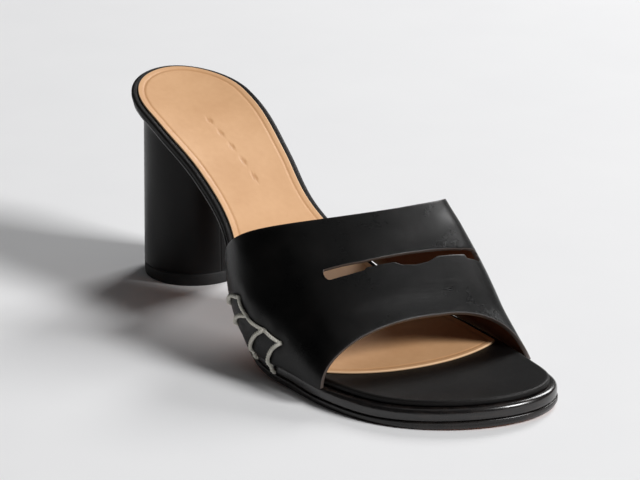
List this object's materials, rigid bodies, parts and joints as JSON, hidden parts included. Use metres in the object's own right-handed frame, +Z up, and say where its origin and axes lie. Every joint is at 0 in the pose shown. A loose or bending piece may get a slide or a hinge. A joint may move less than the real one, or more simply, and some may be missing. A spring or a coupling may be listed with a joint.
{
  "type": "mule shoe",
  "caption": "Open-toed, backless mule on a tall round heel: one wide slotted leather band over a cushioned footbed.",
  "frame": {"origin": "centre of the bounding box on the floor, midway between heel back and toe tip", "axes": "+X from heel to toe, +Y to the inner (medial) side of the foot, +Z up"},
  "size_m": [0.231, 0.0894, 0.0787],
  "materials": {
    "upper_leather": "smooth black calf, soft satin shine",
    "footbed_leather": "smooth black calf over an insole board",
    "sock_leather": "smooth tan lining leather",
    "sole_edge": "black waxed edge",
    "outsole_leather": "black edge, natural tan leather tread",
    "heel_leather": "black leather cover, satin",
    "top_piece_rubber": "black rubber, matt"
  },
  "bodies": {
    "root": {"upper": "upper_leather", "footbed": "footbed_leather", "sock": "sock_leather", "midsole": "sole_edge", "outsole": "outsole_leather", "heel": "heel_leather", "heel_top_piece": "top_piece_rubber"}
  },
  "joints": []
}
